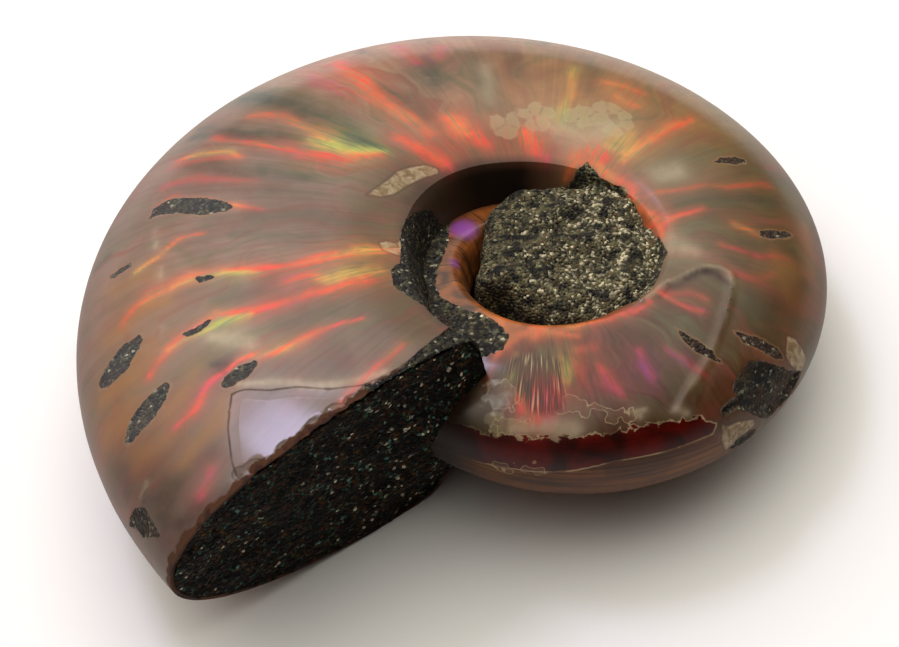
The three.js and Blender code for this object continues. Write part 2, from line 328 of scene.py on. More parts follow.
# Aragonite nacre turned to opal, ground and polished to a gloss: brown and see-into, with bands that
# follow the ribs, and fire in red, orange and green where the layers lie right. A coat is a colour and
# the terms whose product says how much of it. A term is a field of the shell, or a fade: the field,
# where the fade starts and ends, and its values there if they aren't 0 and 1.
opal = {
    "ior": 1.48,
    "specular": 0.38,
    "tones": [(0, "#3a1a0e"), (0.26, "#44240f"), (0.31, "#45200b"), (0.36, "#4a2610"), (0.42, "#4c331b"),
              (0.47, "#5f4b30"), (0.51, "#573f22"), (0.56, "#634f2e"), (0.6, "#83673b"), (0.65, "#906b42"),
              (0.7, "#986d4a"), (0.75, "#9c765c"), (0.8, "#8d745c"), (0.87, "#84695d"), (0.93, "#83695a"),
              (0.97, "#735e51"), (1, "#6d5a50")],
    "tonesOver": ("growth", -450, 0),
    "fire": [(0, "#a83488"), (0.12, "#c93c5e"), (0.26, "#dc432c"), (0.4, "#e16233"), (0.52, "#dc8440"),
             (0.66, "#cf9f48"), (0.8, "#a9ad4e"), (1, "#6f9a5e")],
    # wall is a painted shadow, for the hollow's wall and the nook by the mouth
    "colours": {
        "hollow": "#5c4527", "keel": "#5a4330", "wall": "#170a04", "teal": "#2f3a2c", "ochre": "#8d6034",
        "pale": "#bcab8c", "dark": "#2c170d", "rust": "#7e4334", "olive": "#5c5a38", "amber": "#a25c28",
        "amberDark": "#4a2c14", "violet": "#9450a0", "deepRed": "#560903", "bloodRed": "#6a120a",
        "deepBrown": "#220502", "keelAmber": "#3c1c00", "keelAmberPale": "#784306", "cream": "#c2ab82",
        "lobe": "#a0956c", "crystal": "#a9a8a0", "lip": "#43240c", "halo": "#8f6a48", "glazed": "#45474a",
        "chip": "#8a7346",
    },
    # noise: size in millimetres, detail and distortion
    "noises": {
        "waver": (4.5, 2.0, 0.0), "mottle": (3.0, 5.0, 0.6), "clouds": (1.3, 4.0, 0.5),
        "broken": (0.8, 4.0, 0.5), "wobble": (0.6, 4.0, 0.8), "bubbles": (0.6, 3.0, 0.0),
        "crumple": (0.45, 4.0, 1.0), "frill": (0.42, 0.5, 0.0), "crumble": (0.35, 3.0, 0.0),
    },
    # noise drawn out along the shell: size in degrees of growth and of around, detail and distortion
    "streaks": {
        "bands": (7, 55, 3.0, 0.6), "lines": (1.2, 60, 2.0, 0.6), "partitions": (2.2, 90, 2.0, 0.0),
        "alongKeel": (30, 2.2, 4.0, 0.3), "flicker": (1.1, 16, 3.0, 0.5), "hairs": (0.55, 22, 1.0, 0.0),
    },
    "bandsWaver": ("waver", 0.2, 0.8, -9, 9),
    # edges that noise makes uneven
    "frayed": {
        "belowBand": [("wobble", 0.3, 0.7, -0.05, 0.05)],
        "redBand": [("wobble", 0.3, 0.7, -0.22, 0.22), ("belowBand", -0.5, -0.9)],
        "lobe": [("bubbles", 0.3, 0.7, -0.2, 0.2)],
        "leaf": [("frill", 0.3, 0.7, -0.26, 0.26)],
        "crystal": [("frill", 0.3, 0.7, -0.26, 0.26)],
        "lip": [("broken", 0.3, 0.7, -0.2, 0.2)],
        "bare": [("crumble", 0.3, 0.7, -0.06, 0.06)],
        "hue": [("flicker", 0.35, 0.65, 0.12, -0.08)],
    },
    # fields worked out from others
    "derived": {
        "isBare": [("bare", -0.015, 0.015)],
        "onStriae": [("striae", -0.1, 0.25)],
        "gaps": ["onStriae", ("hairs", 0.58, 0.46)],
        "crack": [("flake", -0.1, -0.02), ("flake", 0.1, 0.02)],
        "rim": ["window", ("bare", -0.16, -0.02)],
        "onChip": [("chip", -0.04, 0.1)],
        "keelFrom": [("growth", -275, -245, 32, 55)],
    },
    # paints that are mixed first, from the first colour
    "mixtures": {
        "shoulder": ("amber", [
            ("amberDark", ("clouds", 0.35, 0.65)),
            ("dark", ("partitions", 0.57, 0.62), ("growth", -365, -375, 0, 0.8)),
            ("violet", "violet"),
        ]),
        "keelLines": ("keelAmber", [
            ("keelAmberPale", ("alongKeel", 0.35, 0.65)),
            ("deepBrown", ("mottle", 0.45, 0.65, 0, 0.6)),
        ]),
        "clearRed": ("deepBrown", [("deepRed", ("clouds", 0.35, 0.65))]),
    },
    "coats": [
        # brown ground, darker by the hollow and at the keel
        ("hollow", ("around", 84, 104, 0, 0.7)),
        ("keel", ("around", 42, 12, 0, 0.55)),
        ("dark", ("mottle", 0.42, 0.7, 0, 0.3)),
        # soft bands along the ribs, greenish and red, that waver and run out, and fine growth lines
        ("rust", ("bands", 0.52, 0.68, 0, 0.6)),
        ("olive", ("bands", 0.48, 0.33, 0, 0.55)),
        ("rust", ("clouds", 0.5, 0.75, 0, 0.22)),
        ("olive", ("clouds", 0.48, 0.25, 0, 0.25)),
        ("dark", ("lines", 0.35, 0.6, 0.16, 0)),
        # bands that show one by one
        *[(name, name, ("broken", 0.3, 0.6, 0.7, 1)) for name in ("ochre", "teal", "pale", "dark")],
        # amber shoulder of the young whorls, with fine dark partitions and a violet spot
        ("shoulder", "amber"),
        # the keel of the front whorl: amber with lines along it, then a clear band of deep red
        ("keelLines", ("belowBand", -0.05, 0.05)),
        ("clearRed", ("redBand", -0.03, 0.03)),
        ("cream", ("redBand", -0.1, -0.04), ("redBand", 0.03, -0.02), ("clouds", 0.4, 0.6, 0.1, 0.7)),
        # pale lobes, like bubbles side by side, each with a line round it
        ("lobe", ("lobe", -0.1, 0.14, 0, 0.5)),
        ("pale", ("lobe", -0.1, 0.02), ("lobe", 0.16, 0.05, 0, 0.16)),
        ("dark", ("lobeSeam", 0.2, 0.02), ("lobe", 0, 0.1, 0, 0.3)),
        # leaf-shaped sutures, outlined
        ("halo", ("leaf", -0.02, 0.05, 0, 0.2)),
        ("cream", ("leaf", -0.05, 0), ("leaf", 0.05, 0.01, 0, 0.65)),
        # fire, broken up along the ribs, and into fine hairs over a patch of brown and blood red
        ("amberDark", ("striae", -0.1, 0.25, 0, 0.85)),
        ("bloodRed", "onStriae", ("growth", -322, -317), ("around", 66, 58)),
        ("fire", "fire", ("flicker", 0.32, 0.56, 0.35, 1), ("broken", 0.3, 0.55, 0.65, 1),
         ("gaps", 0, 1, 1, 0)),
        # the front whorl is painted darker: partly its clearer opal, partly painted shade
        ("deepBrown", ("growth", -255, -290), ("around", 96, 84, 0, 0.24)),
        # painted shadow: on the deep wall of the middle hollow where it lies in shade, and in the nook
        # beside the mouth that the mouth's sandstone shades
        ("wall", ("around", 115, 122), ("growth", -168, -128), ("growth", -62, -100, 0.5, 1)),
        ("wall", ("growth", -329, -338), ("around", 66, 52, 0, 0.9)),
        ("cream", "onStriae", ("hairs", 0.6, 0.72, 0, 0.65)),
        ("deepBrown", "onStriae", ("hairs", 0.42, 0.32, 0, 0.7)),
        # a patch of clear crystals
        ("crystal", ("crystal", -0.05, 0.1), ("broken", 0.4, 0.6, 0.05, 0.45)),
        # pale crumpled chips with a dark line round them
        ("chip", ("chip", -0.04, 0.1, 0, 0.5)),
        ("pale", "onChip", ("crumple", 0.42, 0.64, 0, 0.5)),
        ("amberDark", "onChip", ("crumple", 0.44, 0.32, 0, 0.35)),
        ("dark", ("chip", -0.14, -0.02), ("chip", 0.05, 0, 0, 0.4)),
        # bites out of the edge by the mouth, the rusty edge itself, and the crack round the flake
        ("lip", ("scar", -0.02, 0.08, 0, 0.35)),
        ("dark", ("scar", -0.09, -0.02), ("scar", 0.07, 0, 0, 0.75)),
        ("lip", ("lip", 0.42, 0.3)),
        ("deepBrown", ("lip", 0.2, 0.1), ("clouds", 0.5, 0.55, 0, 0.8)),
        ("dark", "crack", ("broken", 0.35, 0.6, 0.7, 0.3)),
        # where the shell is gone, with a faint halo
        ("halo", "window", ("bare", -0.16, -0.02, 0, 0.4)),
        ("stone", "isBare"),
    ],
    # the bare sandstone: brighter in the windows, and brighter still by the hollow as painted light where it
    # lies in shadow; then its coats
    "stoneToneAndPaintedLight": [[("window", 0, 1, 0.4, 1)], [("growth", -148, -160, 0, 1.4), ("around", 70, 90)]],
    "stoneCoats": [
        ("amberDark", ("around", 80, 70), ("clouds", 0.42, 0.6, 0, 0.4)),
        ("glazed", "window", ("growth", -180, -60, 0, 0.45)),
        ("deepBrown", "window", ("growth", -80, -180, 0, 0.5)),
    ],
    # the roughest of these
    "roughness": [
        [("around", 92, 108, 0.15, 0.45)],
        [("around", "keelFrom", 18, 0.15, 0.5)],
        [("rim", 0, 1, 0, 0.45)],
        [("lip", 0.42, 0.3, 0, 0.9)],
        [("flake", -4, -1.5), ("flake", 0, -0.06, 0, 0.38)],
        [("flake", -0.12, -0.06), ("flake", 0.62, 0.5, 0, 0.34)],
        [("crack", 0, 1, 0, 0.7)],
    ],
}


def makeOpal(attributes):
    material, tree = newMaterial("Opalized nacre, polished")
    place = addNode(tree, "ShaderNodeTexCoord").outputs["Object"]
    onShell = addNode(tree, "ShaderNodeUVMap", uv_map="coil").outputs[0]
    parts = addNode(tree, "ShaderNodeSeparateXYZ", {0: onShell})
    fields = {"growth": parts.outputs[0], "around": parts.outputs[1]}

    def combine(operation, values):
        total = values[0]
        for value in values[1:]:
            total = addNode(tree, "ShaderNodeMath", {0: total, 1: value}, operation=operation).outputs[0]
        return total

    def faded(term):
        if isinstance(term, str):
            return fields[term]
        name, low, high, start, end = (term + (0, 1))[:5]
        fade = {"Value": fields[name], "From Min": fields.get(low, low), "From Max": high, "To Min": start,
                "To Max": end}
        return addNode(tree, "ShaderNodeMapRange", fade).outputs[0]

    def amount(terms):
        return combine("MULTIPLY", [faded(term) for term in terms])

    def coated(colour, coats):
        for name, *terms in coats:
            coat = {mixFactor: amount(terms), mixA: colour, mixB: paints[name]}
            colour = addNode(tree, "ShaderNodeMix", coat, data_type="RGBA").outputs[mixResult]
        return colour

    for name in attributes:
        fields[name] = addNode(tree, "ShaderNodeAttribute", attribute_name=name).outputs["Fac"]
    for name, (size, detail, distortion) in opal["noises"].items():
        pattern = {"Vector": place, "Scale": scaleFor(size), "Detail": detail, "Distortion": distortion}
        fields[name] = addNode(tree, "ShaderNodeTexNoise", pattern).outputs[0]
    shift = addNode(tree, "ShaderNodeCombineXYZ", {0: faded(opal["bandsWaver"])}).outputs[0]
    wavered = addNode(tree, "ShaderNodeVectorMath", {0: onShell, 1: shift}, operation="ADD").outputs[0]
    for name, (alongGrowth, alongRib, detail, distortion) in opal["streaks"].items():
        drawnOut = {"Vector": wavered if name == "bands" else onShell,
                    "Scale": (1 / alongGrowth, 1 / alongRib, 1)}
        pattern = {"Vector": addNode(tree, "ShaderNodeMapping", drawnOut).outputs[0], "Scale": 1.0,
                   "Detail": detail, "Distortion": distortion}
        fields[name] = addNode(tree, "ShaderNodeTexNoise", pattern).outputs[0]
    for name, terms in opal["frayed"].items():
        fields[name] = combine("ADD", [fields[name], amount(terms)])
    for name, terms in opal["derived"].items():
        fields[name] = amount(terms)

    paints = {name: linear(colour) for name, colour in opal["colours"].items()}
    fire = addNode(tree, "ShaderNodeValToRGB", {"Fac": fields["hue"]}, opal["fire"])
    paints["fire"] = fire.outputs["Color"]
    for name, (colour, coats) in opal["mixtures"].items():
        paints[name] = coated(paints[colour], coats)
    sandColour, sandRoughness, sandNormal = sandstoneColour(tree, place, sandstones["worn"])
    # brightness of the bare sandstone, with painted light by the hollow
    shade = combine("MAXIMUM", [amount(terms) for terms in opal["stoneToneAndPaintedLight"]])
    shaded = addNode(tree, "ShaderNodeVectorMath", {0: sandColour, 3: shade}, operation="SCALE").outputs[0]
    paints["stone"] = coated(shaded, opal["stoneCoats"])
    tones = addNode(tree, "ShaderNodeValToRGB", {"Fac": faded(opal["tonesOver"])}, opal["tones"])
    colour = coated(tones.outputs["Color"], opal["coats"])

    bare = fields["isBare"]
    polished = combine("MAXIMUM", [amount(terms) for terms in opal["roughness"]])
    roughness = addNode(tree, "ShaderNodeMix", {0: bare, 2: polished, 3: sandRoughness})
    plain = addNode(tree, "ShaderNodeNewGeometry").outputs["Normal"]
    normal = addNode(tree, "ShaderNodeMix", {0: bare, 4: plain, 5: sandNormal}, data_type="VECTOR")
    shader = addNode(tree, "ShaderNodeBsdfPrincipled",
                     {"Base Color": colour, "Roughness": roughness.outputs[0], "Normal": normal.outputs[1],
                      "IOR": opal["ior"], "Specular IOR Level": opal["specular"]})
    addNode(tree, "ShaderNodeOutputMaterial", {"Surface": shader.outputs[0]})
    return material


# The flat scar where a flake came off beside the mouth: three places on it, the crack round it, and two
# places beyond the break that close its outline. The shell there goes part of the way down to the plane
# through the three.
flake = {
    "places": [(-8.5, 59), (0, 48), (5, 78)],
    "crack": [(2, 45), (0, 47), (-4, 52), (-8, 58), (-7, 61), (-4, 65), (-1, 70), (3.5, 74), (8, 79),
              (9.5, 82), (14, 92)],
    "beyond": [(30, 92), (30, 45)],
    "under": 0.04,
    "flatness": 0.4,
    "edge": (-0.05, 0.22),
}
flakeOutline = flake["crack"] + flake["beyond"]


# How far the flake's scar lies below points of the shell
def flakeDrop(points):
    corners = shellPoints(flake["places"])
    normal = np.cross(corners[1] - corners[0], corners[2] - corners[0])
    above = (points - corners[0]) @ normal / normal[2] + flake["under"]
    return np.maximum(above, 0) * flake["flatness"]


# The shell's markings, as places by growth and around. Fire: how strong, then places along the line with
# half width and hue, 0 for magenta up to 1 for green.
fireLines = [
    # left flank
    (1.0, [(-29.5, 116, 0.5, 0.4), (-29.5, 104, 0.5, 0.6), (-29.5, 91, 0.5, 0.42), (-29.5, 81, 0.36, 0.3),
           (-32, 70, 0.26, 0.3), (-34, 59, 0.3, 0.4), (-33, 46, 0.3, 0.34), (-31, 37, 0.18, 0.28)]),
    (0.8, [(-29.5, 76, 0.2, 0.7), (-31, 71, 0.3, 0.82), (-32, 67, 0.3, 0.82), (-33, 61, 0.2, 0.76)]),
    (0.7, [(-33, 59, 0.2, 0.7), (-33, 54, 0.28, 0.66), (-32, 45, 0.2, 0.55)]),
    (0.75, [(-20, 108, 0.5, 0.6), (-20, 98, 0.6, 0.72), (-22, 89, 0.6, 0.7), (-25, 85, 0.4, 0.34),
            (-25, 80, 0.3, 0.2)]),
    (0.95, [(-17.5, 102, 0.5, 0.34), (-18, 90, 0.5, 0.36), (-19, 82, 0.4, 0.24), (-20, 72, 0.3, 0.28),
            (-23.5, 64, 0.26, 0.4), (-22.5, 53, 0.34, 0.34), (-20, 41, 0.2, 0.28)]),
    (0.85, [(-19.5, 71, 0.2, 0.7), (-20.5, 67, 0.3, 0.8), (-21.5, 63, 0.34, 0.84),
            (-21.5, 56, 0.16, 0.74), (-21.5, 48, 0.22, 0.62)]),
    (1.0, [(-5, 90, 0.12, 0.2), (-8.5, 80, 0.3, 0.3), (-9.5, 74, 0.45, 0.5), (-10.5, 70, 0.4, 0.46),
           (-12.5, 63, 0.14, 0.34), (-12, 57, 0.24, 0.26), (-10.5, 50, 0.32, 0.26), (-9.5, 42, 0.16, 0.2)]),
    (0.7, [(7.5, 91, 0.2, 0.3), (7.5, 81, 0.25, 0.24), (7, 73, 0.2, 0.34)]),
    (0.8, [(6.5, 67, 0.1, 0.4), (7, 70, 0.14, 0.36)]),
    (0.45, [(-1.5, 41, 0.4, 0.18), (-0.5, 34, 0.4, 0.16)]),
    (1.0, [(-51, 65, 0.09, 0.4), (-50, 68, 0.2, 0.5), (-49, 71, 0.2, 0.36), (-48, 75, 0.1, 0.24)]),
    (0.8, [(-53.5, 43, 0.07, 0.3), (-54.5, 49, 0.08, 0.3), (-54, 56, 0.08, 0.34), (-51.5, 65, 0.1, 0.4)]),
    (0.8, [(-39.5, 42, 0.2, 0.72), (-40.5, 47, 0.24, 0.56), (-43, 54, 0.2, 0.4), (-43, 61, 0.12, 0.3)]),
    # upper left
    (0.8, [(-70, 46, 0.25, 0.2), (-69, 64, 0.35, 0.3), (-67.5, 77, 0.4, 0.22), (-70, 85, 0.5, 0.3),
           (-74, 89, 0.4, 0.4), (-76.5, 94, 0.25, 0.3)]),
    (0.55, [(-77, 51, 0.3, 0.36), (-78.5, 60, 0.4, 0.36), (-77, 72, 0.6, 0.5), (-75.5, 79, 0.6, 0.56)]),
    (0.9, [(-73.5, 76, 0.4, 0.66), (-73.5, 80, 0.8, 0.76), (-74, 84, 0.8, 0.84), (-78.5, 94, 0.25, 0.8)]),
    (0.75, [(-64.5, 40, 0.2, 0.3), (-65.5, 46, 0.26, 0.6), (-65.5, 57, 0.3, 0.66), (-64, 62, 0.22, 0.36)]),
    (0.35, [(-63, 38, 0.3, 0.2), (-63.5, 59, 0.3, 0.26)]),
    (0.35, [(-58, 41, 0.5, 0.2), (-58.5, 54, 0.4, 0.22), (-57, 70, 0.3, 0.2)]),
    (0.85, [(-99, 45, 0.5, 0.2), (-98, 60, 0.65, 0.32), (-95.5, 74, 0.7, 0.36), (-95, 84, 0.65, 0.4),
            (-97.5, 95, 0.45, 0.36)]),
    (1.0, [(-87.5, 91, 0.45, 0.28), (-89, 101, 0.6, 0.34), (-91.5, 111, 0.7, 0.3), (-91.5, 117, 0.4, 0.2)]),
    (0.35, [(-93.5, 40, 0.7, 0.16), (-92.5, 54, 1.0, 0.16), (-92, 64, 0.9, 0.18)]),
    (0.45, [(-111, 43, 0.5, 0.16), (-110.5, 61, 0.5, 0.14)]),
    (0.45, [(-117.5, 51, 0.6, 0.14), (-116.5, 58, 0.6, 0.12)]),
    # top
    (1.0, [(-106, 90, 0.5, 0.4), (-108, 95, 0.8, 0.4), (-109, 100, 0.8, 0.36), (-112, 109, 0.6, 0.3)]),
    (0.8, [(-107.5, 95, 0.35, 0.6), (-108.5, 101, 0.3, 0.6)]),
    (1.0, [(-132, 102, 0.5, 0.4), (-133.5, 107, 0.9, 0.36), (-135.5, 112, 0.8, 0.3),
           (-139.5, 117, 0.5, 0.2)]),
    (0.9, [(-154, 112, 0.35, 0.4), (-158, 106, 0.5, 0.36), (-162, 103, 0.5, 0.34), (-167, 105, 0.3, 0.3)]),
    (0.5, [(-146, 61, 0.3, 0.7), (-145.5, 77, 0.4, 0.6), (-145, 88, 0.6, 0.86)]),
    (0.85, [(-172.5, 97, 0.4, 0.55), (-172, 88, 0.6, 0.62), (-174, 78, 0.5, 0.42), (-177, 58, 0.4, 0.34)]),
    (0.5, [(-166.5, 91, 0.6, 0.7), (-168.5, 82, 0.5, 0.6)]),
    (0.6, [(-153.5, 64, 0.4, 0.44), (-158, 62, 0.5, 0.46), (-163, 61, 0.3, 0.4)]),
    (0.6, [(-158.5, 70, 0.5, 0.5), (-164, 69, 0.3, 0.4)]),
    # right
    (0.45, [(-194, 110, 0.25, 0.4), (-198, 82, 0.25, 0.26), (-201, 67, 0.3, 0.3), (-201.5, 46, 0.2, 0.28)]),
    (0.8, [(-206, 123, 0.3, 0.3), (-207, 117, 0.5, 0.36), (-209, 106, 0.4, 0.34),
           (-210.5, 92, 0.24, 0.34), (-208.5, 80, 0.12, 0.3)]),
    (0.9, [(-207.5, 124, 0.25, 0.3), (-213.5, 123, 0.25, 0.34)]),
    (0.35, [(-224.5, 75, 0.2, 0.24), (-226, 62, 0.25, 0.2), (-225.5, 46, 0.2, 0.2)]),
    (0.25, [(-236, 68, 0.3, 0.24), (-235, 59, 0.4, 0.24), (-231.5, 51, 0.3, 0.24)]),
    (0.6, [(-255, 88, 0.2, 0.3), (-253.5, 71, 0.2, 0.2)]),
    (0.5, [(-216, 70, 0.3, 0.54), (-219, 61, 0.25, 0.44)]),
    # front whorl
    (1.0, [(-318.5, 41, 0.45, 0.24), (-319, 48, 0.6, 0.26), (-319.5, 56, 0.4, 0.3)]),
    (0.9, [(-322, 46, 0.3, 0.3), (-322.5, 54, 0.3, 0.4), (-323, 61, 0.2, 0.5)]),
    (1.0, [(-315, 45, 0.4, 0.2), (-314.5, 52, 0.6, 0.22), (-312.5, 62, 0.35, 0.26)]),
    (0.6, [(-310, 63, 0.5, 0.7), (-308.5, 74, 0.5, 0.76)]),
    (0.5, [(-328, 62, 0.3, 0.8), (-327, 75, 0.2, 0.66)]),
    (0.6, [(-319.5, 91, 0.4, 0.4), (-318, 87, 0.4, 0.36), (-318.5, 84, 0.3, 0.34)]),
    (0.8, [(-330.5, 82, 0.12, 0.45), (-333, 75, 0.12, 0.42), (-334.5, 66, 0.1, 0.4),
           (-334.5, 52, 0.08, 0.38)]),
    (0.7, [(-297, 67, 0.4, 0.24), (-296, 62, 0.7, 0.2), (-294, 54, 0.35, 0.18)]),
    (0.6, [(-282, 72, 0.25, 0.1), (-283.5, 64, 0.4, 0.03), (-283, 56, 0.3, 0.05)]),
    (0.45, [(-273.5, 68, 0.25, 0.1), (-272.5, 58, 0.35, 0.08), (-271, 48, 0.2, 0.2)]),
    (0.4, [(-296, 78, 0.5, 0.26), (-303.5, 79, 0.4, 0.5), (-305, 62, 0.4, 0.2)]),
    (0.75, [(-301, 92, 0.3, 0.5), (-287.5, 90, 0.26, 0.36), (-275, 89, 0.3, 0.26), (-262, 88, 0.26, 0.24)]),
    (0.35, [(-254, 86, 0.2, 0.26), (-248.5, 80, 0.3, 0.26), (-249, 72, 0.2, 0.3)]),
    (0.7, [(-340, 98, 0.5, 0.46), (-334, 74, 0.3, 0.4), (-331.5, 81, 0.36, 0.44), (-327, 86, 0.36, 0.4),
           (-319.5, 89, 0.36, 0.4), (-310, 88, 0.3, 0.44), (-299.5, 86, 0.2, 0.4)]),
    # glow along the edge of the sandstone
    (1.0, [(-153, 123, 0.2, 0.44), (-155.5, 120, 0.36, 0.42), (-157.5, 114, 0.4, 0.4),
           (-160.5, 108.5, 0.44, 0.38), (-165.5, 112, 0.4, 0.44), (-170, 115, 0.36, 0.5),
           (-176, 116, 0.4, 0.44), (-181, 113, 0.42, 0.38), (-184.5, 111, 0.44, 0.34),
           (-188, 117, 0.42, 0.36), (-192, 121, 0.34, 0.4), (-197, 121, 0.34, 0.42),
           (-202, 119, 0.4, 0.42), (-208, 118, 0.4, 0.38), (-216, 115, 0.26, 0.36)]),
]

# the pale lines along the raised ridge of the front whorl, and the ridge itself
ridgeLines = [
    (0.4, [(-262, 91, 0.08), (-256, 89, 0.1), (-247.5, 88, 0.12), (-239.5, 83, 0.14), (-235.5, 78, 0.14),
           (-234.5, 73, 0.14), (-236, 69, 0.14), (-240, 67, 0.13)]),
    (0.3, [(-240, 67, 0.12), (-245.5, 65, 0.12), (-253, 62, 0.1), (-266.5, 53, 0.1), (-276.5, 45, 0.08),
           (-282.5, 36, 0.08)]),
]
ridge = [place[:2] for place in ridgeLines[0][1] + ridgeLines[1][1][1:]]

# softer bands, by colour: how strong, then places along the line with half width
bandLines = {
    "teal": [
        (0.8, [(-84.5, 34, 0.16), (-84, 42, 0.24)]),
        (0.8, [(-73.5, 32, 0.16), (-73, 39, 0.24)]),
        (0.6, [(-106, 37, 0.14), (-105, 43, 0.2)]),
        (0.7, [(-138.5, 37, 0.12), (-138.5, 43, 0.16)]),
        (0.7, [(-149, 26, 0.14), (-149, 33, 0.18)]),
        (0.7, [(-46, 18, 0.16), (-46.5, 27, 0.2)]),
        (0.95, [(-82.5, 34, 0.3), (-82, 48, 0.5), (-81.5, 62, 0.7), (-80, 78, 0.8), (-78.5, 86, 0.7),
                (-79.5, 94, 0.35)]),
        (0.85, [(-71, 36, 0.3), (-71.5, 52, 0.45), (-72, 62, 0.55), (-72.5, 72, 0.3)]),
        (0.6, [(-62.5, 46, 0.4), (-60, 66, 0.45), (-60.5, 82, 0.3)]),
        (0.9, [(-98, 72, 0.4), (-99, 79, 0.65), (-100.5, 88, 0.4)]),
        (0.8, [(-112.5, 61, 0.7), (-112, 68, 0.9), (-111.5, 75, 0.5)]),
        (0.55, [(-123, 60, 0.5), (-123, 73, 0.7), (-121.5, 86, 0.5)]),
        (0.45, [(-132, 56, 0.5), (-131.5, 71, 0.35)]),
        (0.45, [(-147.5, 47, 0.5), (-149.5, 60, 0.5), (-150, 71, 0.35)]),
        (0.35, [(-169.5, 70, 0.4), (-169, 79, 0.4)]),
        (0.35, [(-186, 80, 0.8), (-188.5, 95, 0.5)]),
        (0.45, [(-203.5, 88, 0.4), (-204.5, 70, 0.5), (-207, 51, 0.4)]),
        (0.4, [(-223, 65, 0.4), (-222.5, 42, 0.5)]),
        (0.5, [(-244, 57, 0.7), (-242.5, 47, 0.8)]),
        (0.35, [(-41.5, 70, 0.4), (-37, 88, 0.5)]),
        (0.35, [(-25.5, 66, 0.35), (-25, 74, 0.35)]),
        (0.4, [(-14, 77, 0.5), (-13.5, 88, 0.6)]),
        (0.35, [(-58.5, 36, 0.4), (-55.5, 66, 0.4), (-54, 86, 0.4)]),
        (0.3, [(-46, 62, 0.4), (-45, 90, 0.5)]),
    ],
    "ochre": [
        (0.6, [(-38.5, 34, 0.5), (-37, 47, 0.5)]),
        (0.75, [(-30, 32, 0.5), (-31, 40, 0.6), (-30.5, 52, 0.4)]),
        (0.75, [(-22, 24, 0.5), (-22, 36, 0.7), (-24, 45, 0.5)]),
        (0.65, [(-17.5, 18, 0.5), (-17.5, 32, 0.45)]),
        (0.65, [(-12.5, 42, 0.4), (-15, 55, 0.4)]),
        (0.8, [(-5, 38, 0.4), (-6, 50, 0.6), (-7.5, 57, 0.3)]),
        (0.55, [(-11.5, 25, 0.6), (-9.5, 38, 0.4)]),
        (0.6, [(-224.5, 52, 0.5), (-229, 45, 0.8), (-235, 37, 0.8)]),
        (0.5, [(-211.5, 33, 0.4), (-226, 33, 0.5)]),
        (0.35, [(-128, 63, 0.6), (-128.5, 81, 0.6)]),
    ],
    "pale": [
        # painted reflection: a pale lavender-white sheen on the flank, and a pale streak of sheen along the
        # top of the flake's crack
        (0.55, [(-19.5, 61, 0.3), (-17, 65, 0.5), (-13.5, 68, 0.35)]),
        (0.55, [(-9, 60.5, 0.12), (-5, 66, 0.18), (-1.5, 71, 0.2), (4, 76, 0.2), (9, 83, 0.15)]),
        (0.45, [(-188, 86, 0.6), (-189.5, 81, 0.5)]),
        (0.45, [(-220, 109, 0.35), (-224.5, 93, 0.5), (-228.5, 85, 0.4)]),
        (0.5, [(-144.5, 94, 0.8), (-152, 99, 0.9), (-162, 85, 0.6)]),
        (0.3, [(-124, 67, 0.3), (-122.5, 85, 0.3)]),
        (0.7, [(-324.5, 33, 0.3), (-318.5, 37, 0.4), (-313, 36, 0.4), (-308.5, 35, 0.3)]),
        (0.4, [(-335.5, 48, 0.3), (-335.5, 38, 0.35)]),
        (0.4, [(-38, 50, 0.07), (-35.5, 50.5, 0.1), (-33.5, 50, 0.06)]),
        (0.35, [(-47, 46, 0.06), (-43, 48, 0.08)]),
        (0.4, [(-26.5, 50, 0.07), (-25.5, 50, 0.06)]),
        (0.6, [(-282, 37, 0.2), (-280.5, 34, 0.15)]),
        (0.7, [(-7.5, 24, 0.05), (-7, 21, 0.07), (-7, 18, 0.05)]),
        (0.6, [(-292, 41, 0.12), (-293.5, 44, 0.1), (-290, 44, 0.1)]),
        *ridgeLines,
    ],
    "dark": [
        (0.6, [(-2, 13, 0.8), (-4.5, 22, 0.9), (-4.5, 30, 0.6)]),
        (0.6, [(-0.5, 24, 0.4), (1, 36, 0.35), (2, 42, 0.2)]),
        (0.45, [(-3.5, 36, 0.4), (-2.5, 46, 0.4)]),
        (0.5, [(-13, 15, 0.4), (-10, 14, 0.5)]),
        (1.0, [(-14.5, 59, 0.2), (-13.2, 60.5, 0.34), (-12.3, 59, 0.26)]),
        (0.9, [(-7, 22, 0.06), (-6.5, 18, 0.08)]),
        # painted shadow along the inner side of the raised ridge
        (0.95, [(-257, 86, 0.08), (-251, 86, 0.16), (-243.5, 83.5, 0.22), (-238.5, 79, 0.22),
                (-237.5, 73.5, 0.2), (-241, 69, 0.16), (-248, 65.5, 0.12), (-258, 60, 0.08)]),
        (0.4, [(-240, 47, 0.6), (-238, 36, 0.6), (-230, 33, 0.4)]),
        (0.5, [(-106, 119, 0.4), (-80, 118, 0.3), (-60, 117, 0.3)]),
    ],
}

